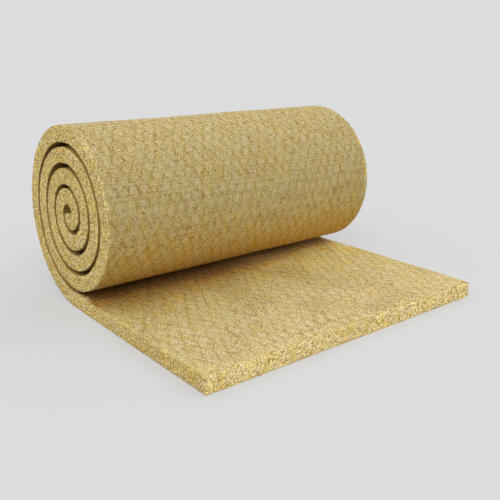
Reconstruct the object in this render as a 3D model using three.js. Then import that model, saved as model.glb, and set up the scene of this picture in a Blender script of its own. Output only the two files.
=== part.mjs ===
// Stone wool insulation mat, rolled up, with its outer end lying out flat in front of the roll.
//
// The mat is one piece of stock: a soft slab of even thickness with square cut edges. It comes in
// flat along the floor from -Y and passes under the roll. Then it goes up at the back, over the top
// and down at the front, and so on inwards, with an open gap between one turn and the next. Its
// inner end is cut square and leaves a small eye in the middle.
//
// Units are millimetres. +X runs along the axis of the roll, from one side edge of the mat to the
// other, and +Z is up. The origin is on the floor, in the middle of the outline seen from above.

import * as THREE from 'three';

// Driving dimensions.
const MAT_WIDTH = 1000;
const MAT_THICKNESS = 46.5;
const TURN_PITCH = 59.6; // how far the mat moves inwards in one turn: its thickness and the gap
const FIRST_RADIUS = 281.3; // from the roll's axis to the outer face, where that leaves the floor
const TAIL_LENGTH = 660; // flat outer end, from its cut edge to straight under the roll's axis
const OUTER_FACE_SWEEP = 1525; // degrees turned by the face that looks away from the axis
const INNER_FACE_SWEEP = 1398; // degrees turned by the face that looks towards it
const EYE_RADIUS = 12; // the tightest bend of the inner face
const ANGLE_STEP = 10; // degrees between two points of a turn
const WOOL_COLOUR = 0xb19a5e;

const INWARD_PER_RADIAN = TURN_PITCH / (2 * Math.PI);

// Radius of each broad face. Angles start straight down and run through +Y and over the top.
function outerFaceRadius(angle) {
  return FIRST_RADIUS - INWARD_PER_RADIAN * angle;
}

function innerFaceRadius(angle) {
  return Math.max(outerFaceRadius(angle) - MAT_THICKNESS, EYE_RADIUS);
}

// Points of one broad face from under the axis to the inner cut end, as the distance behind the
// axis and the height above the floor.
function facePoints(radiusAt, sweepDegrees) {
  const steps = Math.round(sweepDegrees / ANGLE_STEP);
  const sweep = THREE.MathUtils.degToRad(sweepDegrees);
  const points = [];
  for (let i = 0; i <= steps; i += 1) {
    const angle = (sweep * i) / steps;
    const radius = radiusAt(angle);
    const behind = radius * Math.sin(angle);
    const height = FIRST_RADIUS - radius * Math.cos(angle);
    points.push(new THREE.Vector2(behind, height));
  }
  return points;
}

// Outline of the mat seen along the axis: in along its outer face, across the inner cut end, back
// out along its inner face, and down the outer cut edge.
function matOutline() {
  return [
    new THREE.Vector2(-TAIL_LENGTH, 0),
    ...facePoints(outerFaceRadius, OUTER_FACE_SWEEP),
    ...facePoints(innerFaceRadius, INNER_FACE_SWEEP).reverse(),
    new THREE.Vector2(-TAIL_LENGTH, MAT_THICKNESS),
  ];
}

// The outline is drawn in the geometry's x and y and extruded along its z. Those three become the
// part's Y, Z and X.
function makeWoolMat() {
  const outline = matOutline();
  const geometry = new THREE.ExtrudeGeometry(new THREE.Shape(outline), {
    depth: MAT_WIDTH,
    bevelEnabled: false,
  });
  const material = new THREE.MeshStandardMaterial({
    color: WOOL_COLOUR,
    roughness: 0.95,
    metalness: 0,
  });
  const mesh = new THREE.Mesh(geometry, material);
  mesh.name = 'wool_mat';

  const axes = new THREE.Matrix4().makeBasis(
    new THREE.Vector3(0, 1, 0),
    new THREE.Vector3(0, 0, 1),
    new THREE.Vector3(1, 0, 0),
  );
  const middle = new THREE.Box2().setFromPoints(outline).getCenter(new THREE.Vector2());
  mesh.quaternion.setFromRotationMatrix(axes);
  mesh.position.set(-MAT_WIDTH / 2, -middle.x, 0);
  return mesh;
}

const insulationRoll = new THREE.Group();
insulationRoll.add(makeWoolMat());

export default insulationRoll;
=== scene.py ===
"""Roll of stone wool insulation: one thick mat in an open spiral, with its outer end lying flat."""

import math

import bpy
import numpy as np
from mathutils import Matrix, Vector


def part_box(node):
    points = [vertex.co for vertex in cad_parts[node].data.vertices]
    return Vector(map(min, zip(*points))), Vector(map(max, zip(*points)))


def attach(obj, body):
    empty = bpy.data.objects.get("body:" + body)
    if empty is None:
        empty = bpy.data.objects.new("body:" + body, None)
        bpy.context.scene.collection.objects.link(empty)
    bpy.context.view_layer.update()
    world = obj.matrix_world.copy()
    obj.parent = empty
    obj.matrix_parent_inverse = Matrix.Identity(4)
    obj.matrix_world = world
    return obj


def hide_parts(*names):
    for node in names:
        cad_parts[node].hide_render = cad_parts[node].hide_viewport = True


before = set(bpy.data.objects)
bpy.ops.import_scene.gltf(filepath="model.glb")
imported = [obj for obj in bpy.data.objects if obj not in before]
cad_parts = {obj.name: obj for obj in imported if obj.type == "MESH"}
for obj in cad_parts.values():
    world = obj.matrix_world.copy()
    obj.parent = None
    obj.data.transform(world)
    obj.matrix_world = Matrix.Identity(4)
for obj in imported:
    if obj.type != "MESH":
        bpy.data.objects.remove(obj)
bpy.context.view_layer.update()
CAD_LOW, CAD_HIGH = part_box("wool_mat")

bl_info = {
    "name": "Insulation roll",
    "version": (1, 0, 0),
    "blender": (4, 5, 0),
    "location": "View3D > Sidebar > Insulation roll",
    "description": "Builds a rolled stone wool mat with its relief, its finishes and a studio",
    "category": "Add Mesh",
}

TURN = 2 * math.pi
MM = 0.001


# ---------------------------------------------------------------- settings


class WoolMatShape(bpy.types.PropertyGroup):
    """Sizes of the mat and of the spiral that it is wound in."""

    width: bpy.props.FloatProperty(
        name="Width",
        description="Width of the mat, along the axis of the roll",
        default=CAD_HIGH[0] - CAD_LOW[0],
        unit="LENGTH",
    )
    thickness: bpy.props.FloatProperty(
        name="Thickness",
        description="Thickness of the mat between its two broad faces",
        default=46.5 * MM,
        unit="LENGTH",
    )
    turn_pitch: bpy.props.FloatProperty(
        name="Turn pitch",
        description="Distance from one turn of the roll to the next",
        default=59.6 * MM,
        unit="LENGTH",
    )
    first_radius: bpy.props.FloatProperty(
        name="First radius",
        description="Distance from the axis of the roll to the floor",
        default=281.3 * MM,
        unit="LENGTH",
    )
    tail_length: bpy.props.FloatProperty(
        name="Tail length",
        description="Length that lies flat in front of the point under the axis",
        default=660 * MM,
        unit="LENGTH",
    )
    outer_sweep: bpy.props.FloatProperty(
        name="Outer sweep",
        description="Angle that the outer broad face turns through up to the cut inside the eye",
        default=math.radians(1525),
        subtype="ANGLE",
    )
    inner_sweep: bpy.props.FloatProperty(
        name="Inner sweep",
        description="Angle that the inner broad face turns through up to the cut inside the eye",
        default=math.radians(1398),
        subtype="ANGLE",
    )
    eye_radius: bpy.props.FloatProperty(
        name="Eye radius",
        description="Radius of the hole that is left along the axis of the roll",
        default=12 * MM,
        unit="LENGTH",
    )


class WoolMatRelief(bpy.types.PropertyGroup):
    """Sizes of the relief that the curing belt and the saw leave on the mat."""

    cell_width: bpy.props.FloatProperty(
        name="Cell width",
        description="Distance between two pillows across the mat",
        default=34 * MM,
        unit="LENGTH",
    )
    cell_length: bpy.props.FloatProperty(
        name="Cell length",
        description="Distance between two staggered rows of pillows along the mat",
        default=33 * MM,
        unit="LENGTH",
    )
    pillow_height: bpy.props.FloatProperty(
        name="Pillow height",
        description="Height of a pillow above the creases around it",
        default=1.1 * MM,
        unit="LENGTH",
    )
    edge_rounding: bpy.props.FloatProperty(
        name="Edge rounding",
        description="How far the crumbled edges stand back",
        default=1.1 * MM,
        unit="LENGTH",
    )
    cut_roughness: bpy.props.FloatProperty(
        name="Cut roughness",
        description="Height of the torn fibres on the sawn faces",
        default=1.3 * MM,
        unit="LENGTH",
    )
    fine_step: bpy.props.FloatProperty(
        name="Fine step",
        description="Size of the mesh faces where the mat is seen from near",
        default=5.7 * MM,
        unit="LENGTH",
    )
    coarse_step: bpy.props.FloatProperty(
        name="Coarse step",
        description="Size of the mesh faces inside the roll",
        default=8 * MM,
        unit="LENGTH",
    )


class WoolMatColours(bpy.types.PropertyGroup):
    """Colours of the wool, and the tints that multiply them.

    A tint is brown or golden where the binder has gathered, and pale where the fibre is bare; some
    tints paint shade or light around the nip and between the turns instead, as their notes say.
    """

    straw: bpy.props.FloatVectorProperty(
        name="Straw",
        description="General colour of the inner broad face",
        subtype="COLOR",
        default=(0.580, 0.489, 0.231),
    )
    # Partly the real weathering of the outer face, partly painted shade: its mask makes it full
    # down the front toward the nip and weaker over the top, so the top reads lighter.
    weathering_and_shade: bpy.props.FloatVectorProperty(
        name="Weathering",
        description="Tint of the outer broad face",
        subtype="COLOR",
        default=(0.712, 0.714, 0.668),
    )
    pale: bpy.props.FloatVectorProperty(
        name="Pale",
        description="Grey-green tint of the middle of the pillows",
        subtype="COLOR",
        default=(1.040, 1.120, 1.500),
    )
    blush: bpy.props.FloatVectorProperty(
        name="Blush",
        description="Pinkish tint of fibres with little binder",
        subtype="COLOR",
        default=(1.100, 0.960, 1.280),
    )
    gilt: bpy.props.FloatVectorProperty(
        name="Gilt",
        description="Tint of the golden streaks along the mat",
        subtype="COLOR",
        default=(1.080, 0.940, 0.430),
    )
    # Partly a binder stain, partly painted warm bounce light from the tail on the low front of the
    # roll toward the nip.
    outer_stain_and_bounce_light: bpy.props.FloatVectorProperty(
        name="Outer stain",
        description="Tint of the outer face toward the nip",
        subtype="COLOR",
        default=(1.350, 1.100, 0.680),
    )
    # Painted shade: the tail is darker and warmer toward the nip, under the roll, and less so at
    # the far end, where light comes in.
    inner_painted_shade: bpy.props.FloatVectorProperty(
        name="Inner stain",
        description="Tint of the inner face toward the nip",
        subtype="COLOR",
        default=(0.830, 0.790, 0.500),
    )
    # Painted shade deep in the nip at the near end, with a ragged border.
    nip_painted_shade: bpy.props.FloatVectorProperty(
        name="Soot",
        description="Brown tint deep in the nip at the near end",
        subtype="COLOR",
        default=(0.680, 0.550, 0.450),
    )
    # Painted shadow: the dark brown in the depth of the nip, right under the roll.
    core: bpy.props.FloatVectorProperty(
        name="Core",
        description="Dark brown tint in the depth of the nip",
        subtype="COLOR",
        default=(0.740, 0.620, 0.660),
    )
    # Painted light: a golden lit edge where the painted shadow of the nip ends.
    painted_rim_light: bpy.props.FloatVectorProperty(
        name="Rim",
        description="Golden tint where the brown of the nip ends",
        subtype="COLOR",
        default=(1.050, 0.900, 0.680),
    )
    # Painted light: the nip and the tail are paler at the far end, where light comes in from that
    # side.
    glow: bpy.props.FloatVectorProperty(
        name="Glow",
        description="Paler tint around the nip at the far end",
        subtype="COLOR",
        default=(1.270, 1.260, 1.120),
    )
    amber: bpy.props.FloatVectorProperty(
        name="Amber",
        description="Tint of the flanks of the pillows",
        subtype="COLOR",
        default=(0.860, 0.700, 0.400),
    )
    ochre: bpy.props.FloatVectorProperty(
        name="Ochre",
        description="Tint of the veins that wander along the mat",
        subtype="COLOR",
        default=(0.700, 0.500, 0.270),
    )
    crease: bpy.props.FloatVectorProperty(
        name="Crease",
        description="Ochre tint of the thin lines around and inside the pillows",
        subtype="COLOR",
        default=(0.570, 0.385, 0.125),
    )
    gold: bpy.props.FloatVectorProperty(
        name="Gold",
        description="Bright fibre ends of the sawn faces",
        subtype="COLOR",
        default=(0.960, 0.815, 0.395),
    )
    lemon: bpy.props.FloatVectorProperty(
        name="Lemon",
        description="Tint of the yellow flecks of the sawn faces",
        subtype="COLOR",
        default=(1.030, 1.020, 0.580),
    )
    umber: bpy.props.FloatVectorProperty(
        name="Umber",
        description="Pits between the fibres of the sawn faces",
        subtype="COLOR",
        default=(0.358, 0.200, 0.006),
    )
    dust: bpy.props.FloatVectorProperty(
        name="Dust",
        description="Pinkish grey patches of the sawn faces",
        subtype="COLOR",
        default=(0.620, 0.470, 0.255),
    )
    # Painted shade: dark brown on the faces shut in between two turns, where little light reaches
    # into the gaps.
    shade: bpy.props.FloatVectorProperty(
        name="Shade",
        description="Brown of the faces that are shut in between two turns",
        subtype="COLOR",
        default=(0.335, 0.210, 0.055),
    )


class StudioSettings(bpy.types.PropertyGroup):
    """Backdrop, lights and camera."""

    backdrop: bpy.props.FloatVectorProperty(
        name="Backdrop",
        description="Plain pale grey of the floor and of the wall behind it",
        subtype="COLOR",
        default=(0.723, 0.723, 0.723),
    )
    sky_strength: bpy.props.FloatProperty(
        name="Sky strength",
        description="Strength of the ring of light high around the roll",
        default=1.45,
    )
    key_strength: bpy.props.FloatProperty(
        name="Key strength",
        description="Strength of the broad lamp on the camera's side",
        default=1.46,
    )
    side_strength: bpy.props.FloatProperty(
        name="Side strength",
        description="Strength of the broad lamp beyond the far end of the roll",
        default=0.40,
    )
    fill_strength: bpy.props.FloatProperty(
        name="Fill strength",
        description="Strength of the low lamp in front of the flat end of the mat",
        default=0.62,
    )
    floor_bounce: bpy.props.FloatVectorProperty(
        name="Floor bounce",
        description="Colour with which the floor lights the underside of the roll",
        subtype="COLOR",
        default=(0.33, 0.33, 0.33),
    )
    floor_light: bpy.props.FloatProperty(
        name="Floor light",
        description="How bright a white sheet on the floor would look",
        default=1.22,
    )
    shadow_share: bpy.props.FloatProperty(
        name="Shadow share",
        description="How much of the floor's brightness the roll's shadow can take away",
        subtype="FACTOR",
        default=0.5,
    )
    lens: bpy.props.FloatProperty(
        name="Lens",
        description="Focal length of the camera",
        default=48.18,
        unit="CAMERA",
    )


def settings():
    """The settings that the scene keeps: the mat's shape, relief and colours, and the studio."""
    scene = bpy.context.scene
    return scene.wool_mat_shape, scene.wool_mat_relief, scene.wool_mat_colours, scene.roll_studio


# ---------------------------------------------------------------- relief in numbers

# Smooth wandering of the pillows over the sheet: the size of the lumps that move them, how far,
# and the seeds across and along.
PILLOW_DRIFTS = ((90 * MM, 5 * MM, 11, 12), (42 * MM, 3 * MM, 13, 14))
# Uneven rows: the lumps are drawn out across the mat, so that a row moves as one.
ROW_STRETCH = (0.22, 1.0, 1.0)
ROW_SWAY = (45 * MM, 6 * MM, 19)
ROW_SHIFT = (80 * MM, 11 * MM, 20)
# The two broad faces read different slices of the same lumps.
OUTER_FACE, INNER_FACE = 1.0, 3.0


def lattice_value(corner, seed):
    """A steady number from -1 to 1 for each whole-numbered corner of a lattice.

    Large odd numbers scatter the corners over 32 bits, so that neighbours have nothing in common.
    """
    mixed = corner[..., 0] * 73856093 ^ corner[..., 1] * 19349663 ^ corner[..., 2] * 83492791
    mixed = (mixed ^ seed * 2654435761) & 0xFFFFFFFF
    mixed = ((mixed ^ (mixed >> 15)) * 2246822519) & 0xFFFFFFFF
    mixed = ((mixed ^ (mixed >> 13)) * 3266489917) & 0xFFFFFFFF
    mixed = mixed ^ (mixed >> 16)
    return mixed / 0x7FFFFFFF - 1


def lumps(points, size, seed):
    """Smooth lumps from -1 to 1, about size across, at points in metres."""
    spot = points / size
    base = np.floor(spot).astype(np.int64)
    part = spot - base
    part = part**3 * (part * (part * 6 - 15) + 10)  # level at both ends, so no kinks show
    total = np.zeros(len(points))
    for corner in range(8):
        step = np.array([corner & 1, corner >> 1 & 1, corner >> 2 & 1])
        share = np.prod(np.where(step, part, 1 - part), axis=-1)
        total += share * lattice_value(base + step, seed)
    return total


def pillow_offsets(belt, relief):
    """How far each point lies from the nearest pillow of each of two staggered lattices."""
    period = np.array([relief.cell_width, 2 * relief.cell_length])
    even = np.mod(belt + period / 2, period) - period / 2
    odd = np.mod(belt, period) - period / 2
    return np.linalg.norm(even, axis=-1), np.linalg.norm(odd, axis=-1)


def pillow_height(belt, relief):
    """Height of the pillows from 0 in the creases to 1 in the middle."""
    near = np.minimum(*pillow_offsets(belt, relief))
    reach, steepness = 0.62 * relief.cell_width, 2.2
    return 1 - np.minimum(near / reach, 1.0) ** steepness


# ---------------------------------------------------------------- the mat

# Edges that bend more than this are shaded as sharp.
SHARP_EDGE = math.radians(38)
# Two narrow mesh faces next to a cut keep its edge crisp.
EDGE_STEPS = (2.5 * MM, 5.5 * MM)
# Before its end the inner face turns less than the outer one, from this far ahead of the end.
INNER_LAG = math.radians(255)
# Columns next to each side edge that every row has, also where the rest of the face is one strip.
RIM_COLUMNS = 6


def ramped(start, end, step, first_steps):
    """Places from start to end about step apart, with narrow first_steps from each end."""
    inner = np.cumsum(first_steps)
    low, high = start + inner, end - inner
    middle = np.linspace(low[-1], high[-1], max(2, round((high[-1] - low[-1]) / step) + 1))
    return np.concatenate([[start], low[:-1], middle, high[:-1][::-1], [end]])


class Spiral:
    """The section of the mat: where its two broad faces run, station by station."""

    def __init__(self, shape, relief):
        self.axis_y = CAD_LOW[1] + shape.tail_length
        self.axis_z = shape.first_radius
        self.inward = shape.turn_pitch / TURN
        front = -shape.tail_length
        steps = round(shape.tail_length / relief.fine_step)
        tail = np.concatenate([
            [front, front + EDGE_STEPS[0]],
            np.linspace(front + sum(EDGE_STEPS), 0, steps),
        ])
        first_turn = self.arc(TURN, shape)
        whole = self.arc(shape.outer_sweep, shape)
        steps = round(first_turn / relief.fine_step)
        fine = np.linspace(0, first_turn, steps + 1)[1:]
        steps = round((whole - first_turn) / relief.coarse_step)
        coarse = np.linspace(first_turn, whole, steps + 1)[1:]
        self.along = np.concatenate([tail, fine, coarse])
        self.tail_stations = len(tail)
        self.turn_stations = len(tail) + len(fine)
        rolled = np.maximum(self.along, 0)
        root = np.sqrt(np.maximum(shape.first_radius**2 - 2 * self.inward * rolled, 0))
        angle = (shape.first_radius - root) / self.inward
        self.outer_angle = angle
        lag = shape.outer_sweep - INNER_LAG
        share = (shape.inner_sweep - lag) / (shape.outer_sweep - lag)
        self.inner_angle = np.where(angle > lag, lag + (angle - lag) * share, angle)
        outer_radius = self.radius(self.outer_angle, shape)
        inner_radius = self.radius(self.inner_angle, shape) - shape.thickness
        inner_radius = np.maximum(inner_radius, shape.eye_radius)
        lying = np.minimum(self.along, 0)
        self.outer = self.place(outer_radius, self.outer_angle, lying)
        self.inner = self.place(inner_radius, self.inner_angle, lying)
        self.outer_normal = np.stack([np.sin(self.outer_angle), -np.cos(self.outer_angle)], -1)
        self.inner_normal = -np.stack([np.sin(self.inner_angle), -np.cos(self.inner_angle)], -1)
        gaps = np.linalg.norm(np.diff(self.inner, axis=0), axis=-1)
        self.inner_along = np.concatenate([[0], np.cumsum(gaps)]) - shape.tail_length

    def arc(self, angle, shape):
        """Length along the outer broad face from the point under the axis to angle."""
        return shape.first_radius * angle - self.inward * angle**2 / 2

    def radius(self, angle, shape):
        """Distance of the outer broad face from the axis at angle."""
        return shape.first_radius - self.inward * angle

    def place(self, radius, angle, lying):
        """Y and Z of a broad face, with the flat part shifted forward by lying."""
        y = self.axis_y + radius * np.sin(angle) + lying
        z = self.axis_z - radius * np.cos(angle)
        return np.stack([y, z], -1)


class MatMesh:
    """Points and faces of the mat, kept by where they sit in the unrolled mat."""

    def __init__(self, spiral, shape, relief):
        self.spiral = spiral
        half = shape.width / 2
        self.columns = ramped(-half, half, relief.fine_step, EDGE_STEPS)
        layers = ramped(0, shape.thickness, relief.fine_step, EDGE_STEPS[:1])
        self.layers = layers / shape.thickness
        self.station, self.column, self.layer = [], [], []
        self.faces = []
        count = len(spiral.along)
        wide, deep = len(self.columns), len(self.layers)
        self.outer = np.full((count, wide), -1)
        self.inner = np.full((count, wide), -1)
        self.low_side = np.full((count, deep), -1)
        self.high_side = np.full((count, deep), -1)
        stations = np.arange(count)
        tail, turn = spiral.tail_stations, spiral.turn_stations
        self.outer_fine = (stations >= tail - 1) & (stations < turn) | (stations == 0)
        self.inner_fine = stations < tail
        for i in stations:
            self.fill_row(self.outer, i, self.outer_fine[i], 0)
            self.fill_row(self.inner, i, self.inner_fine[i], deep - 1)
            for side, column in ((self.low_side, 0), (self.high_side, wide - 1)):
                side[i, 0] = self.outer[i, column]
                side[i, -1] = self.inner[i, column]
                for k in range(1, deep - 1):
                    side[i, k] = self.point(i, column, k)
        for i in stations[:-1]:
            self.join_rows(self.outer, self.outer_fine, i, False)
            self.join_rows(self.inner, self.inner_fine, i, True)
            for k in range(deep - 1):
                for side, flip in ((self.low_side, False), (self.high_side, True)):
                    self.quad(side[i, k], side[i, k + 1], side[i + 1, k + 1], side[i + 1, k], flip)
        self.close_end(0, True)
        self.close_end(count - 1, False)

    def point(self, station, column, layer):
        """Adds a point and gives its number."""
        self.station.append(station)
        self.column.append(column)
        self.layer.append(layer)
        return len(self.station) - 1

    def rim_columns(self):
        """Numbers of the columns that every row has, near both side edges."""
        wide = len(self.columns)
        return list(range(RIM_COLUMNS)) + list(range(wide - RIM_COLUMNS, wide))

    def fill_row(self, grid, station, fine, layer):
        """Adds the points of one row of a broad face, all of them or only those near its edges."""
        for column in range(len(self.columns)) if fine else self.rim_columns():
            grid[station, column] = self.point(station, column, layer)

    def quad(self, a, b, c, d, flip):
        """Adds a face of four points, turned over where flip says so."""
        self.faces.append((d, c, b, a) if flip else (a, b, c, d))

    def fan(self, row, ends, flip):
        """Adds triangles between a full row and the two points that end a long strip."""
        half = len(row) // 2
        for j in range(len(row) - 1):
            tip = ends[0] if j < half else ends[1]
            self.faces.append((tip, row[j + 1], row[j]) if flip else (row[j], row[j + 1], tip))
        middle = (ends[0], ends[1], row[half])
        self.faces.append(middle if flip else middle[::-1])

    def join_rows(self, grid, fine, i, flip):
        """Adds the faces of a broad face between one station and the next."""
        wide = len(self.columns)
        first, last = RIM_COLUMNS - 1, wide - RIM_COLUMNS
        full = fine[i] and fine[i + 1]
        spans = range(wide - 1) if full else list(range(first)) + list(range(last, wide - 1))
        here, beyond = grid[i], grid[i + 1]
        for c in spans:
            self.quad(here[c], beyond[c], beyond[c + 1], here[c + 1], not flip)
        if full:
            return
        if fine[i]:
            self.fan(list(here[first:last + 1]), (beyond[first], beyond[last]), flip)
        elif fine[i + 1]:
            self.fan(list(beyond[first:last + 1]), (here[first], here[last]), not flip)
        else:
            self.quad(here[first], beyond[first], beyond[last], here[last], not flip)

    def close_end(self, station, flip):
        """Adds the cut face at one end of the mat."""
        fine = self.outer_fine[station]
        columns = list(range(len(self.columns))) if fine else self.rim_columns()
        deep = len(self.layers)
        grid = np.full((len(columns), deep), -1)
        for n, column in enumerate(columns):
            grid[n, 0] = self.outer[station, column]
            grid[n, -1] = self.inner[station, column]
            side = {0: self.low_side, len(columns) - 1: self.high_side}.get(n)
            for k in range(1, deep - 1):
                grid[n, k] = self.point(station, column, k) if side is None else side[station, k]
        for n in range(len(columns) - 1):
            for k in range(deep - 1):
                self.quad(grid[n, k], grid[n + 1, k], grid[n + 1, k + 1], grid[n, k + 1], flip)

    def finishes(self):
        """The material of each face: 0 where it lies on a broad face, 1 where the mat is cut."""
        layer = np.array(self.layer)
        outer, inner = layer == 0, layer == len(self.layers) - 1
        corners = (list(face) for face in self.faces)
        return [0 if all(outer[c]) or all(inner[c]) else 1 for c in corners]


def pillow_drift(sheet):
    """How far each pillow stands from its place on an even lattice, across and along the mat."""
    drift = np.zeros((len(sheet), 2))
    for size, reach, across_seed, along_seed in PILLOW_DRIFTS:
        across, along = lumps(sheet, size, across_seed), lumps(sheet, size, along_seed)
        drift += np.column_stack([across, along]) * reach
    rows = sheet * ROW_STRETCH
    for axis, (size, reach, seed) in enumerate((ROW_SWAY, ROW_SHIFT)):
        drift[:, axis] += lumps(rows, size, seed) * reach
    return drift


def broad_height(belt, sheet, flat, relief):
    """Height of the broad faces: pillows of uneven depth on a sheet with broad and fine lumps."""
    level, unevenness = 0.55, 0.35
    height = (pillow_height(belt, relief) - level) * relief.pillow_height
    height *= 1 + unevenness * lumps(sheet, size=60 * MM, seed=15)
    height += lumps(sheet, size=130 * MM, seed=16) * 1.2 * MM
    coarse, fine = lumps(flat, size=17 * MM, seed=17), lumps(flat, size=9 * MM, seed=18)
    height += coarse * 0.15 * MM + fine * 0.12 * MM
    return height


def cut_heights(flat, relief):
    """How far the torn fibres of the sawn faces stand out, and how far their edges stand back."""
    fine, coarse = lumps(flat, size=8 * MM, seed=21), lumps(flat, size=15 * MM, seed=22)
    bow, inset, unevenness = 0.8 * MM, 0.4 * MM, 0.7
    torn = relief.cut_roughness * (0.55 * fine + 0.35 * coarse)
    torn += bow * lumps(flat, size=120 * MM, seed=23) - inset
    crumble = relief.edge_rounding * (1 + unevenness * lumps(flat, size=11 * MM, seed=24))
    return torn, crumble


def mat_points(mesh, shape, relief):
    """Places every point of the mat with its relief, and gives what the materials read."""
    spiral = mesh.spiral
    station, column, layer = (np.array(v) for v in (mesh.station, mesh.column, mesh.layer))
    depth = mesh.layers[layer][:, None]
    x = mesh.columns[column]
    section = spiral.outer[station] * (1 - depth) + spiral.inner[station] * depth
    flat = np.column_stack([x, section])
    on_outer, on_inner = layer == 0, layer == len(mesh.layers) - 1
    on_side = (column == 0) | (column == len(mesh.columns) - 1)
    last = len(spiral.along) - 1
    on_end = (station == 0) | (station == last)
    broad = on_outer | on_inner
    normal = np.zeros((len(x), 3))
    normal[on_outer, 1:] = spiral.outer_normal[station[on_outer]]
    normal[on_inner, 1:] = spiral.inner_normal[station[on_inner]]

    along = np.where(on_inner, spiral.inner_along[station], spiral.along[station])
    sheet = np.column_stack([x, along, np.where(on_inner, INNER_FACE, OUTER_FACE)])
    belt = sheet[:, :2] + pillow_drift(sheet)
    height = broad_height(belt, sheet, flat, relief)
    moved = flat + normal * (height * broad)[:, None]

    torn, crumble = cut_heights(flat, relief)
    moved[:, 0] += np.sign(x) * on_side * torn
    moved[:, 0] -= np.sign(x) * (on_side & (broad | on_end)) * crumble
    moved -= normal * ((on_side | on_end) * broad * crumble)[:, None]
    front = station == 0
    moved[:, 1] -= front * torn
    moved[:, 1] += (front & (broad | on_side)) * crumble
    moved[:, 2] = np.maximum(moved[:, 2], 0)

    first_turn = spiral.arc(TURN, shape)
    outward = spiral.along[station]
    from_nip = np.where(on_inner, -outward, first_turn - outward)
    from_side, from_front = shape.width / 2 - np.abs(x), outward + shape.tail_length
    from_cut = np.column_stack([from_side, from_front, from_nip])
    return moved, np.column_stack([belt, on_inner.astype(float)]), from_cut


def smooth_object(name, points, faces):
    """A mesh object in the scene with smooth faces."""
    data = bpy.data.meshes.new(name)
    data.from_pydata([tuple(p) for p in points.tolist()], [], faces)
    data.validate()
    data.shade_smooth()
    data.set_sharp_from_angle(angle=SHARP_EDGE)
    thing = bpy.data.objects.new(name, data)
    bpy.context.scene.collection.objects.link(thing)
    return thing


def keep_vectors(data, name, vectors):
    """Stores one vector per point under a name that the materials read."""
    attribute = data.attributes.new(name, "FLOAT_VECTOR", "POINT")
    attribute.data.foreach_set("vector", np.asarray(vectors, np.float32).ravel())


# ---------------------------------------------------------------- shader tools


NODES_IN_A_ROW, NODE_GAP = 12, (190, 260)
VECTOR, NUMBER = "NodeSocketVector", "NodeSocketFloat"

# Radii on a pillow, as shares of the cell width: its outline and the ring inside it, and where
# the middle and the net between the pillows start and are full.
OUTLINE_RADIUS, RING_RADIUS = 0.44, 0.24
MIDDLE_EDGE, NET_EDGE = (0.46, 0.22), (0.38, 0.48)

# In metres along the mat before the nip: where each tint of the broad faces starts and is full.
# Around the nip these tints paint shade and light: darker down the front of the roll, warm bounce
# light low on the roll, shade over the tail, and a shadow deep in the nip with a lit rim.
WEATHERED_AND_SHADED = (0.85, 0.44)
OUTER_STAIN_AND_BOUNCE, INNER_PAINTED_SHADE = (0.42, 0.16), (0.52, 0.05)
NIP_SHADE_ALONG = (0.33, 0.14)
NIP_SHADOW_EDGE, RIM_LIGHT_EDGE = (0.235, 0.200), (0.265, 0.215)
# Where the grain gains contrast up the front of the roll, and loses some over the top.
UP_FRONT, OVER_TOP = (0.42, 0.80), (0.90, 1.15)
# In metres across the mat from its middle, where high X is the far end: where the painted light of
# the far end starts and is full, and where the painted shade deep in the nip ends and is full.
FAR_END, NIP_SHADE_ACROSS = (-0.02, 0.48), (0.33, 0.03)
# Where the painted shadow deep in the nip is drawn back, and how far.
NIP_SHADOW_DRAWN_BACK = (((0.16, 0.34), 0.045), ((-0.10, -0.35), 0.025))
# In metres behind the front cut: where the paler fresh fibres end and where they are full.
FRESH_CUT, FRESH_BELT = (12 * MM, 2 * MM), (70 * MM, 10 * MM)

# In metres from the front corner at low X: where the finer grain ends and where it is full.
FINER_GRAIN = (0.56, 0.40)
# Specks that come out darkest and brightest, in the coarser and in the finer grain.
SPOT_TONES, SPECK_TONES = (0.15, 0.63), (0.18, 0.57)


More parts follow.
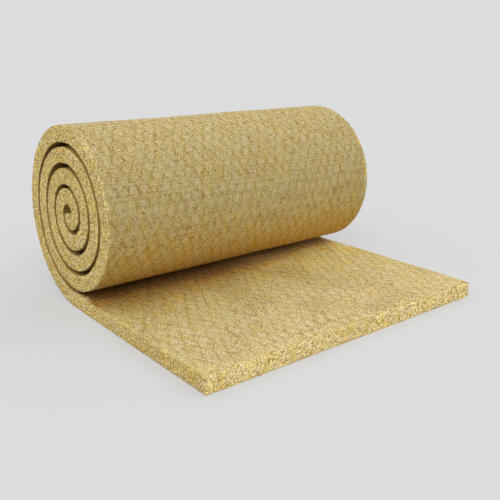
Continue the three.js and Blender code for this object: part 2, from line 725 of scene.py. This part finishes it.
class Wiring:
    """Adds nodes to one tree and joins them, so that a finish reads as a list of steps."""

    def __init__(self, tree):
        self.tree = tree
        self.count = 0

    def add(self, kind, **values):
        """A node of this kind with its own settings."""
        node = self.tree.nodes.new(kind)
        for name, value in values.items():
            setattr(node, name, value)
        self.count += 1
        across, down = self.count % NODES_IN_A_ROW, self.count // NODES_IN_A_ROW
        node.location = (across * NODE_GAP[0], -down * NODE_GAP[1])
        return node

    def feed(self, socket, value):
        """Joins a socket to another one, or sets its plain value."""
        if isinstance(value, bpy.types.NodeSocket):
            self.tree.links.new(value, socket)
        elif value is not None:
            socket.default_value = value

    def feed_all(self, node, values):
        """Feeds the sockets of a node by their names."""
        for name, value in values.items():
            self.feed(node.inputs[name], value)

    def math(self, operation, *values, clamp=False):
        """One step of arithmetic."""
        node = self.add("ShaderNodeMath", operation=operation, use_clamp=clamp)
        for socket, value in zip(node.inputs, values):
            self.feed(socket, value)
        return node.outputs[0]

    def times(self, first, second):
        """One value times another."""
        return self.math("MULTIPLY", first, second)

    def times_plus(self, first, second, added):
        """One value times another, with a third added."""
        return self.math("MULTIPLY_ADD", first, second, added)

    def minus(self, first, second, clamp=False):
        """One value less another, kept between 0 and 1 where clamp says so."""
        return self.math("SUBTRACT", first, second, clamp=clamp)

    def vector(self, operation, *values):
        """One step of arithmetic on vectors."""
        node = self.add("ShaderNodeVectorMath", operation=operation)
        slots = list(node.inputs)
        if operation == "SCALE":
            slots[1] = node.inputs["Scale"]
        for socket, value in zip(slots, values):
            self.feed(socket, value)
        gives_number = operation in ("LENGTH", "DISTANCE", "DOT_PRODUCT")
        return node.outputs["Value" if gives_number else "Vector"]

    def parts(self, vector):
        """The X, Y and Z of a vector."""
        node = self.add("ShaderNodeSeparateXYZ")
        self.feed(node.inputs[0], vector)
        return node.outputs

    def centred(self, value):
        """A vector of values from 0 to 1, moved to lie around 0."""
        return self.vector("SUBTRACT", value, (0.5, 0.5, 0.5))

    def seeded(self, place, seed):
        """A place moved by the same seed along all three axes."""
        node = self.add("ShaderNodeCombineXYZ")
        for socket in node.inputs:
            self.feed(socket, seed)
        return self.vector("ADD", place, node.outputs[0])

    def ramp(self, value, low, high, start=0.0, end=1.0):
        """A smooth step from start, where value is low, to end, where it is high."""
        node = self.add("ShaderNodeMapRange", interpolation_type="SMOOTHSTEP")
        spans = {"From Min": low, "From Max": high, "To Min": start, "To Max": end}
        self.feed_all(node, {"Value": value, **spans})
        return node.outputs[0]

    def mix(self, share, first, second, blend="MIX"):
        """Two colours mixed by a share."""
        node = self.add("ShaderNodeMix", data_type="RGBA", blend_type=blend)
        self.feed(node.inputs[0], share)
        for socket, value in ((node.inputs[6], first), (node.inputs[7], second)):
            joined = isinstance(value, bpy.types.NodeSocket)
            self.feed(socket, value if joined else (*value[:3], 1.0))
        return node.outputs[2]

    def tint(self, colour, *layers):
        """A colour multiplied by one tint after another, each as far as its share says."""
        for share, tint in layers:
            colour = self.mix(share, colour, tint, "MULTIPLY")
        return colour

    def noise(self, place, scale, detail=2.0, roughness=0.5, output="Fac"):
        """Cloudy noise at a place."""
        node = self.add("ShaderNodeTexNoise", noise_dimensions="3D")
        look = {"Scale": scale, "Detail": detail, "Roughness": roughness}
        self.feed_all(node, {"Vector": place, **look})
        return node.outputs[output]

    def grains(self, place, scale):
        """Uneven grains at a place: their random colours, middles and distances."""
        node = self.add("ShaderNodeTexVoronoi", feature="F1")
        self.feed_all(node, {"Vector": place, "Scale": scale})
        return node.outputs

    def group(self, tree, **values):
        """A shared group placed in this tree with its own values."""
        node = self.add("ShaderNodeGroup")
        node.node_tree = tree
        self.feed_all(node, {name.replace("_", " "): value for name, value in values.items()})
        return node.outputs

    def seen_share(self):
        """Share of the rays that show what they hit, straight or in glass and metal."""
        path = self.add("ShaderNodeLightPath").outputs
        seen = self.math("ADD", path["Is Camera Ray"], path["Is Glossy Ray"])
        return self.math("ADD", seen, path["Is Transmission Ray"], clamp=True)


def shader_group(name, inputs, outputs):
    """An empty shader node group with named sockets."""
    tree = bpy.data.node_groups.new(name, "ShaderNodeTree")
    for label, kind, default in inputs:
        socket = tree.interface.new_socket(label, in_out="INPUT", socket_type=kind)
        if default is not None:
            socket.default_value = default
    for label in outputs:
        tree.interface.new_socket(label, in_out="OUTPUT", socket_type=NUMBER)
    wiring = Wiring(tree)
    given, out = wiring.add("NodeGroupInput").outputs, wiring.add("NodeGroupOutput").inputs
    return tree, wiring, given, out


def belt_pillow_group(relief):
    """Outlines, inner rings and middles of the pillows that the curing belt leaves."""
    tree, w, given, out = shader_group(
        "Belt pillows",
        [("Belt", VECTOR, None), ("Wobble", NUMBER, 4 * MM), ("Line Width", NUMBER, 2 * MM)],
        ["Outline", "Ring", "Middle", "Net"],
    )
    cell_width, cell_length = relief.cell_width, relief.cell_length
    line_width = given["Line Width"]
    wander = w.centred(w.noise(given["Belt"], 34.0, detail=4.0, roughness=0.62, output="Color"))
    wander = w.vector("SCALE", wander, w.times(given["Wobble"], 4.0))
    level = w.vector("MULTIPLY", w.vector("ADD", given["Belt"], wander), (1.0, 1.0, 0.0))
    half = (cell_width / 2, cell_length, 0.5)
    back = tuple(-v for v in half)
    stagger, squeeze = (cell_width / 2, cell_length, 0.0), (1.0, 0.95, 0.0)
    even = w.vector("WRAP", level, half, back)
    odd = w.vector("WRAP", w.vector("ADD", level, stagger), half, back)
    even, odd = w.vector("MULTIPLY", even, squeeze), w.vector("MULTIPLY", odd, squeeze)
    to_even, to_odd = w.vector("LENGTH", even), w.vector("LENGTH", odd)
    near = w.math("MINIMUM", to_even, to_odd)
    nearer = w.add("ShaderNodeMix", data_type="VECTOR")
    w.feed(nearer.inputs[0], w.math("LESS_THAN", to_odd, to_even))
    w.feed(nearer.inputs[4], even)
    w.feed(nearer.inputs[5], odd)
    turn = w.math("DIVIDE", w.parts(nearer.outputs[1])["X"], near)
    flank = w.ramp(w.math("ABSOLUTE", turn), 0.25, 0.95, start=0.35)
    one_side = w.ramp(turn, -0.9, 0.9, start=0.3)
    from_outline = w.math("ABSOLUTE", w.minus(near, OUTLINE_RADIUS * cell_width))
    from_ring = w.math("ABSOLUTE", w.minus(near, RING_RADIUS * cell_width))
    outline = w.ramp(from_outline, line_width, 0.0)
    ring = w.ramp(from_ring, w.times(line_width, 0.8), 0.0)
    w.feed(out["Outline"], w.times(outline, flank))
    w.feed(out["Ring"], w.times(ring, one_side))
    w.feed(out["Middle"], w.ramp(near, *(share * cell_width for share in MIDDLE_EDGE)))
    net = w.ramp(near, *(share * cell_width for share in NET_EDGE))
    w.feed(out["Net"], w.times(net, flank))
    return tree


def fibre_speckle_group():
    """Tangled fibres, as tufts with a light and a dark side, and as single bright or dark ends."""
    tree, w, given, out = shader_group(
        "Fibre speckle",
        [("Place", VECTOR, None), ("Grain", NUMBER, 3 * MM), ("Seed", NUMBER, 0.0)],
        ["Tilt", "Speck"],
    )
    scale = w.math("DIVIDE", 1.0, given["Grain"])
    place = w.seeded(given["Place"], given["Seed"])
    bend = w.noise(place, w.times(scale, 0.8), detail=2.0, roughness=0.6, output="Color")
    bend = w.vector("SCALE", w.centred(bend), w.times(given["Grain"], 1.4))
    bent = w.vector("ADD", place, bend)
    ends = w.add("ShaderNodeSeparateColor")
    w.feed(ends.inputs[0], w.grains(bent, scale)["Color"])
    end = ends.outputs[0]
    tuft_scale = w.times(scale, 0.52)
    tuft_place = w.vector("ADD", bent, (3.1, 1.7, 5.3))
    tufts = w.grains(tuft_place, tuft_scale)
    from_middle = w.vector("SUBTRACT", tuft_place, tufts["Position"])
    from_middle = w.vector("SCALE", from_middle, tuft_scale)
    tilt = w.vector("DOT_PRODUCT", from_middle, w.centred(tufts["Color"]))
    w.feed(out["Tilt"], w.times_plus(tilt, 1.4, w.times_plus(end, 0.20, 0.40)))
    tuft = w.ramp(tufts["Distance"], 0.62, 0.12)
    w.feed(out["Speck"], w.times_plus(end, 0.78, w.times(tuft, 0.22)))
    return tree


def drifting_patch_group():
    """Broad soft patches, streaks along the mat and thin veins, where the binder changes hue."""
    tree, w, given, out = shader_group(
        "Drifting patches",
        [("Place", VECTOR, None), ("Size", NUMBER, 80 * MM), ("Seed", NUMBER, 0.0)],
        ["Patch", "Streak", "Vein"],
    )
    scale = w.math("DIVIDE", 1.0, given["Size"])
    place = w.seeded(given["Place"], given["Seed"])
    w.feed(out["Patch"], w.ramp(w.noise(place, scale), 0.38, 0.62))
    drawn_out = w.vector("MULTIPLY", place, (1.0, 0.30, 1.0))
    streaks = w.noise(drawn_out, w.times(scale, 2.2), detail=3.0, roughness=0.6)
    w.feed(out["Streak"], w.ramp(streaks, 0.45, 0.65))
    drawn_out = w.vector("MULTIPLY", place, (1.0, 0.45, 1.0))
    field = w.noise(drawn_out, w.times(scale, 1.6), detail=3.0, roughness=0.55)
    from_vein = w.math("ABSOLUTE", w.minus(field, 0.5))
    w.feed(out["Vein"], w.ramp(from_vein, 0.028, 0.0))
    return tree


def blank_material(name):
    """A material with a Principled shader and the wiring to dress it."""
    material = bpy.data.materials.new(name)
    material.use_nodes = True
    wiring = Wiring(material.node_tree)
    shader = material.node_tree.nodes["Principled BSDF"]
    return material, wiring, shader


def dress_wool(w, shader, colour, height, depth, strength, roughness, shine):
    """Gives a shader its colour, a fine relief of this depth and strength, and its dull surface."""
    bump = w.add("ShaderNodeBump")
    w.feed_all(bump, {"Strength": strength, "Distance": depth, "Height": height})
    w.feed_all(shader, {"Base Color": colour, "Normal": bump.outputs[0]})
    w.feed_all(shader, {"Roughness": roughness, "Specular IOR Level": shine})


def read_attribute(w, name):
    """The vector that the mesh keeps under this name."""
    return w.add("ShaderNodeAttribute", attribute_name=name).outputs["Vector"]


def shaded(w, colour, shade, depth):
    """The colour with greyer bright fibres and browner dark ones, by a shade around 0.5."""
    swing = w.times(w.minus(shade, 0.50), depth)
    spread = w.vector("SCALE", (0.95, 1.03, 1.70), swing)
    return w.vector("MULTIPLY", colour, w.vector("ADD", spread, (1.0, 1.0, 1.0)))


def speckled_cut(w, place, fresh, colours, speckle, patches):
    """Colour and height of a sawn face: gold fibre ends over brown pits, finer near the corner."""
    spots = w.group(speckle, Place=place, Grain=3.0 * MM, Seed=0.0)
    specks = w.group(speckle, Place=place, Grain=2.3 * MM, Seed=7.0)
    drift = w.group(patches, Place=place, Size=60 * MM, Seed=2.0)
    other = w.group(patches, Place=place, Size=17 * MM, Seed=6.0)
    fleck = w.group(patches, Place=place, Size=12 * MM, Seed=12.0)
    finer = w.ramp(w.vector("DISTANCE", place, tuple(CAD_LOW)), *FINER_GRAIN)
    coarse_tone = w.times(w.ramp(spots["Speck"], *SPOT_TONES), w.minus(1.0, finer))
    tone = w.times_plus(w.ramp(specks["Speck"], *SPECK_TONES), finer, coarse_tone)
    body = w.mix(tone, colours.umber, colours.gold)
    body = w.mix(w.times(drift["Patch"], 0.20), body, colours.dust)
    body = w.tint(
        body,
        (w.times(other["Patch"], 0.45), colours.blush),
        (w.times(fleck["Patch"], 0.66), colours.lemon),
        (w.times(drift["Streak"], 0.30), colours.gilt),
        (w.times(fresh, 0.40), colours.pale),
    )
    return body, tone


def cut_face_material(colours, speckle, patches):
    """The sawn faces: the two spiral ends, the front edge and the end inside the eye."""
    material, w, shader = blank_material("stone_wool_cut")
    place = w.add("ShaderNodeTexCoord").outputs["Object"]
    from_front = w.parts(read_attribute(w, "from_cut"))["Y"]
    fresh = w.ramp(from_front, *FRESH_CUT)
    colour, height = speckled_cut(w, place, fresh, colours, speckle, patches)
    dress_wool(w, shader, colour, height, 1.5 * MM, strength=0.8, roughness=0.95, shine=0.15)
    return material


def nip_layers(w, place, ragged, across, inner, from_nip, colours):
    """Tints around the nip, each with its share, and how near it is: a stain with painted warm
    bounce light low on the roll, painted shade over the tail, painted light at the far end, and a
    painted shadow deep in the nip with a painted lit rim.
    """
    outer_stain_and_bounce_light = w.minus(w.ramp(from_nip, *OUTER_STAIN_AND_BOUNCE), inner, clamp=True)
    inner_painted_shade = w.times(w.ramp(from_nip, *INNER_PAINTED_SHADE), inner)
    near_nip = w.math("MAXIMUM", outer_stain_and_bounce_light, inner_painted_shade)
    beyond = w.ramp(across, *FAR_END)
    # The painted shade on the tail weakens toward the far end, where light comes in under the roll.
    inner_painted_shade = w.times(inner_painted_shade, w.times_plus(beyond, -0.6, 1.0))
    # Painted light at the far end of the nip, strongest on the tail.
    glow = w.times_plus(inner, 0.22, w.times(inner_painted_shade, 0.8))
    glow = w.times_plus(outer_stain_and_bounce_light, 0.25, glow)
    # Painted shade deep in the nip on the tail: full from the near end to about the middle, fading
    # out toward the far end.
    nip_painted_shade = w.times(w.ramp(w.times_plus(ragged, 0.06, from_nip), *NIP_SHADE_ALONG), inner)
    nip_painted_shade = w.times(nip_painted_shade, w.ramp(w.times_plus(ragged, 0.30, across), *NIP_SHADE_ACROSS))
    # The ragged border of the painted shadow deep in the nip, and of its painted lit rim, drawn
    # back toward both ends.
    ragged_shadow_edge = w.noise(place, 38.0, detail=4.0, roughness=0.6)
    ragged_shadow_edge = w.times_plus(ragged_shadow_edge, 0.16, from_nip)
    for span, drawn_back in NIP_SHADOW_DRAWN_BACK:
        ragged_shadow_edge = w.math("ADD", ragged_shadow_edge, w.ramp(across, *span, end=drawn_back))
    core = w.times(w.ramp(ragged_shadow_edge, *NIP_SHADOW_EDGE), inner)
    # Painted light along the border of the painted shadow in the nip.
    painted_rim_light = w.times(w.ramp(ragged_shadow_edge, *RIM_LIGHT_EDGE), w.minus(inner, core, clamp=True))
    layers = (
        (outer_stain_and_bounce_light, colours.outer_stain_and_bounce_light),
        (inner_painted_shade, colours.inner_painted_shade),
        (w.times(beyond, glow), colours.glow),
        (nip_painted_shade, colours.nip_painted_shade),
        (core, colours.core),
        (painted_rim_light, colours.painted_rim_light),
    )
    return layers, near_nip


def gold_spill(w, ragged, grain, fresh, from_side, from_front):
    """Where the gold fibre ends of a cut spill over onto a broad face, with a ragged border."""
    from_side, from_front = w.math("ADD", from_side, 2 * MM), w.minus(from_front, 8 * MM)
    from_cut = w.math("MINIMUM", from_side, from_front)
    reach = w.times_plus(fresh, 0.14, 0.08)
    border = w.minus(from_cut, w.times(w.minus(ragged, 0.44), reach))
    border = w.times_plus(w.minus(grain, 0.5), -10 * MM, border)
    return w.ramp(border, 4 * MM, -4 * MM)


def belt_face_material(colours, pillows, speckle, patches):
    """The broad faces: outlined pillows, ochre veins, fine grain, gold spill near the cuts, with
    painted shade and light around the nip and painted shade between the turns.
    """
    material, w, shader = blank_material("stone_wool_belt")
    place = w.add("ShaderNodeTexCoord").outputs["Object"]
    belt = read_attribute(w, "belt")
    sheet, from_cut = w.parts(belt), w.parts(read_attribute(w, "from_cut"))
    across, inner = sheet["X"], sheet["Z"]
    from_side, from_front, from_nip = (from_cut[axis] for axis in "XYZ")
    cells = w.group(pillows, Belt=belt, Wobble=6 * MM, Line_Width=2.1 * MM)
    grain_size = w.times_plus(inner, -0.5 * MM, 2.3 * MM)
    spots = w.group(speckle, Place=place, Grain=grain_size, Seed=4.0)
    drift = w.group(patches, Place=belt, Size=110 * MM, Seed=1.0)
    hue = w.group(patches, Place=belt, Size=30 * MM, Seed=3.0)
    veins = w.group(patches, Place=belt, Size=52 * MM, Seed=9.0)
    ragged = w.noise(place, 20.0, detail=5.0, roughness=0.68)
    stains, near_nip = nip_layers(w, place, ragged, across, inner, from_nip, colours)

    # Weathering with painted shade: full from the front of the roll down to the nip, a third of it
    # over the top and back.
    weathered_and_shaded = w.minus(w.ramp(from_nip, *WEATHERED_AND_SHADED, start=0.3), inner, clamp=True)
    flanks = w.times_plus(inner, 0.12, w.times_plus(drift["Streak"], 0.36, 0.08))
    strength = w.times_plus(hue["Streak"], 0.30, w.times_plus(inner, 0.02, 0.57))
    lines = w.times(cells["Outline"], strength)
    lines = w.math("MAXIMUM", lines, w.times(cells["Ring"], w.times(strength, 0.30)))
    body = w.tint(
        colours.straw,
        (w.times(hue["Patch"], 0.42), colours.blush),
        (w.times(cells["Middle"], w.times_plus(inner, 0.12, 0.14)), colours.pale),
        (weathered_and_shaded, colours.weathering_and_shade),
        *stains,
        (w.times(veins["Streak"], w.times_plus(near_nip, 0.46, 0.34)), colours.gilt),
        (w.times(cells["Net"], flanks), colours.amber),
        (w.times(veins["Vein"], 0.42), colours.ochre),
        (lines, colours.crease),
    )
    outer_contrast = w.ramp(from_nip, *UP_FRONT, start=0.80, end=1.45)
    softened = w.ramp(from_nip, *OVER_TOP, start=1.0, end=0.72)
    outer_contrast, inner_contrast = w.times(outer_contrast, softened), w.times(inner, 1.40)
    contrast = w.math("MAXIMUM", outer_contrast, inner_contrast)
    body = shaded(w, body, spots["Tilt"], contrast)

    fresh = w.ramp(from_front, *FRESH_BELT)
    gold, grain = speckled_cut(w, place, fresh, colours, speckle, patches)
    spill = gold_spill(w, ragged, grain, fresh, from_side, from_front)
    # Painted shade: the spilled gold is dimmed to about 0.7 of the cut's gold, which offsets the
    # stronger light on the broad face.
    body = w.mix(spill, body, w.vector("SCALE", gold, w.times_plus(fresh, 0.08, 0.69)))
    # Painted shade on the faces shut in between the turns, starting a few millimetres in from the
    # nip and from the cut ends.
    gap_painted_shade = w.times(w.ramp(from_nip, 0.0, -6 * MM), w.ramp(from_side, -2 * MM, 3 * MM))
    body = w.mix(w.times(gap_painted_shade, 0.88), body, colours.shade)
    height = w.times_plus(lines, -0.4, w.times(spots["Tilt"], 0.6))
    dress_wool(w, shader, body, height, 1.2 * MM, strength=0.7, roughness=0.92, shine=0.2)
    return material


# ---------------------------------------------------------------- operators


class ROLL_OT_add_wool_mat(bpy.types.Operator):
    """Build the wound mat with its relief and its two finishes"""

    bl_idname = "roll.add_wool_mat"
    bl_label = "Add wool mat"

    def execute(self, context):
        shape, relief, colours = settings()[:3]
        mesh = MatMesh(Spiral(shape, relief), shape, relief)
        points, belt, from_cut = mat_points(mesh, shape, relief)
        mat = smooth_object("wool_mat_surface", points, mesh.faces)
        if len(mat.data.polygons) != len(mesh.faces):
            raise RuntimeError("the mesh of the mat lost faces")
        keep_vectors(mat.data, "belt", belt)
        keep_vectors(mat.data, "from_cut", from_cut)
        pillows, speckle = belt_pillow_group(relief), fibre_speckle_group()
        patches = drifting_patch_group()
        mat.data.materials.append(belt_face_material(colours, pillows, speckle, patches))
        mat.data.materials.append(cut_face_material(colours, speckle, patches))
        mat.data.polygons.foreach_set("material_index", mesh.finishes())
        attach(mat, "root")
        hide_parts("wool_mat")
        return {"FINISHED"}


class ROLL_OT_add_studio(bpy.types.Operator):
    """Add the pale floor, the soft light and the camera"""

    bl_idname = "roll.add_studio"
    bl_label = "Add studio"

    def execute(self, context):
        studio = settings()[3]
        scene = context.scene
        add_camera(scene, studio)
        add_floor(scene, studio)
        add_lights(scene, studio)
        scene.view_settings.view_transform = "Standard"
        return {"FINISHED"}


# In metres and radians: where the camera stands, how far it is turned away from +Y and down.
CAMERA_PLACE = (-1.27435, -1.53688, 0.75086)
CAMERA_HEADING, CAMERA_DIP = 0.655, 0.274
CAMERA_SHIFT = (0.0526, -0.0370)
FLOOR_REACH, FLOOR_DROP = 60, 0.3 * MM
# Heights of the ring of light, as the Z of a direction: where it starts and is full, and where
# it fades and is at its weakest, with that share.
RING_START, RING_END, RING_TOP_SHARE = (0.30, 0.62), (0.80, 0.95), 0.12
# Directions in which the broad lamps stand from the roll, and how wide each looks in degrees.
KEY_LAMP = ((-0.515, -0.637, 0.574), 45)
SIDE_LAMP = ((0.820, -0.360, 0.445), 50)
FILL_LAMP = ((-0.12, -0.98, 0.16), 60)


def aimed(direction):
    """The turn that points a camera or a lamp in a direction."""
    return Vector(direction).to_track_quat("-Z", "Y").to_euler()


def add_camera(scene, studio):
    """The camera in front of the roll's near end, a little above it."""
    data = bpy.data.cameras.new("roll_camera")
    data.lens = studio.lens
    data.sensor_width = 36
    data.shift_x, data.shift_y = CAMERA_SHIFT
    data.clip_end = 200
    camera = bpy.data.objects.new("roll_camera", data)
    camera.location = CAMERA_PLACE
    level = math.cos(CAMERA_DIP)
    east, north = math.sin(CAMERA_HEADING) * level, math.cos(CAMERA_HEADING) * level
    camera.rotation_euler = aimed((east, north, -math.sin(CAMERA_DIP)))
    scene.collection.objects.link(camera)
    scene.camera = camera


def add_floor(scene, studio):
    """A wide plain floor in the colour of the backdrop, which keeps a light shadow of the roll."""
    signs = ((-1, -1), (1, -1), (1, 1), (-1, 1))
    corners = [(x * FLOOR_REACH, y * FLOOR_REACH, -FLOOR_DROP) for x, y in signs]
    floor = smooth_object("studio_floor", np.array(corners), [(0, 1, 2, 3)])
    material, w, shader = blank_material("studio_floor")
    shader.inputs["Roughness"].default_value = 1.0
    shader.inputs["Specular IOR Level"].default_value = 0.0
    seen = w.seen_share()
    shown = tuple(v * studio.shadow_share / studio.floor_light for v in studio.backdrop)
    w.feed(shader.inputs["Base Color"], w.mix(seen, studio.floor_bounce, shown))
    glow = w.add("ShaderNodeEmission")
    glow.inputs["Color"].default_value = (*studio.backdrop, 1.0)
    w.feed(glow.inputs["Strength"], w.times(seen, 1 - studio.shadow_share))
    both = w.add("ShaderNodeAddShader")
    w.feed(both.inputs[0], shader.outputs[0])
    w.feed(both.inputs[1], glow.outputs[0])
    w.feed(material.node_tree.nodes["Material Output"].inputs["Surface"], both.outputs[0])
    floor.data.materials.append(material)


def add_lights(scene, studio):
    """Soft light from a high ring of sky and three broad lamps."""
    world = bpy.data.worlds.new("roll_world")
    world.use_nodes = True
    tree = world.node_tree
    w = Wiring(tree)
    background = tree.nodes["Background"]
    background.inputs["Color"].default_value = (1.0, 1.0, 1.0, 1.0)
    height = w.parts(w.add("ShaderNodeTexCoord").outputs["Generated"])["Z"]
    fade = w.ramp(height, *RING_END, start=1.0, end=RING_TOP_SHARE)
    ring = w.times(w.ramp(height, *RING_START), fade)
    w.feed(background.inputs["Strength"], w.times(ring, studio.sky_strength))
    shown = w.add("ShaderNodeBackground")
    shown.inputs["Color"].default_value = (*studio.backdrop, 1.0)
    either = w.add("ShaderNodeMixShader")
    w.feed(either.inputs[0], w.seen_share())
    w.feed(either.inputs[1], background.outputs[0])
    w.feed(either.inputs[2], shown.outputs[0])
    w.feed(tree.nodes["World Output"].inputs["Surface"], either.outputs[0])
    scene.world = world
    add_lamp(scene, "key_lamp", studio.key_strength, *KEY_LAMP)
    add_lamp(scene, "side_lamp", studio.side_strength, *SIDE_LAMP)
    add_lamp(scene, "fill_lamp", studio.fill_strength, *FILL_LAMP)


def add_lamp(scene, name, strength, towards, spread):
    """A broad distant lamp that stands in the given direction from the roll."""
    lamp = bpy.data.lights.new(name, "SUN")
    lamp.energy = strength
    lamp.angle = math.radians(spread)
    holder = bpy.data.objects.new(name, lamp)
    holder.rotation_euler = aimed(-Vector(towards))
    scene.collection.objects.link(holder)


class ROLL_PT_panel(bpy.types.Panel):
    """Sizes, colours and steps of the insulation roll"""

    bl_idname = "ROLL_PT_panel"
    bl_label = "Insulation roll"
    bl_space_type = "VIEW_3D"
    bl_region_type = "UI"
    bl_category = "Insulation roll"

    def draw(self, context):
        for group in settings():
            box = self.layout.box()
            for name in group.bl_rna.properties.keys():
                if name not in ("rna_type", "name"):
                    box.prop(group, name)
        for operator in (ROLL_OT_add_wool_mat, ROLL_OT_add_studio):
            self.layout.operator(operator.bl_idname)


CLASSES = (
    WoolMatShape,
    WoolMatRelief,
    WoolMatColours,
    StudioSettings,
    ROLL_OT_add_wool_mat,
    ROLL_OT_add_studio,
    ROLL_PT_panel,
)


def register():
    """Makes the settings, operators and panel known to Blender."""
    for item in CLASSES:
        bpy.utils.register_class(item)
    scene = bpy.types.Scene
    scene.wool_mat_shape = bpy.props.PointerProperty(type=WoolMatShape)
    scene.wool_mat_relief = bpy.props.PointerProperty(type=WoolMatRelief)
    scene.wool_mat_colours = bpy.props.PointerProperty(type=WoolMatColours)
    scene.roll_studio = bpy.props.PointerProperty(type=StudioSettings)


def unregister():
    """Takes the settings, operators and panel away again."""
    scene = bpy.types.Scene
    del scene.wool_mat_shape, scene.wool_mat_relief, scene.wool_mat_colours, scene.roll_studio
    for item in reversed(CLASSES):
        bpy.utils.unregister_class(item)


def build_roll():
    """Builds the roll and its studio."""
    register()
    bpy.ops.roll.add_studio()
    bpy.ops.roll.add_wool_mat()


if __name__ == "__main__":
    build_roll()
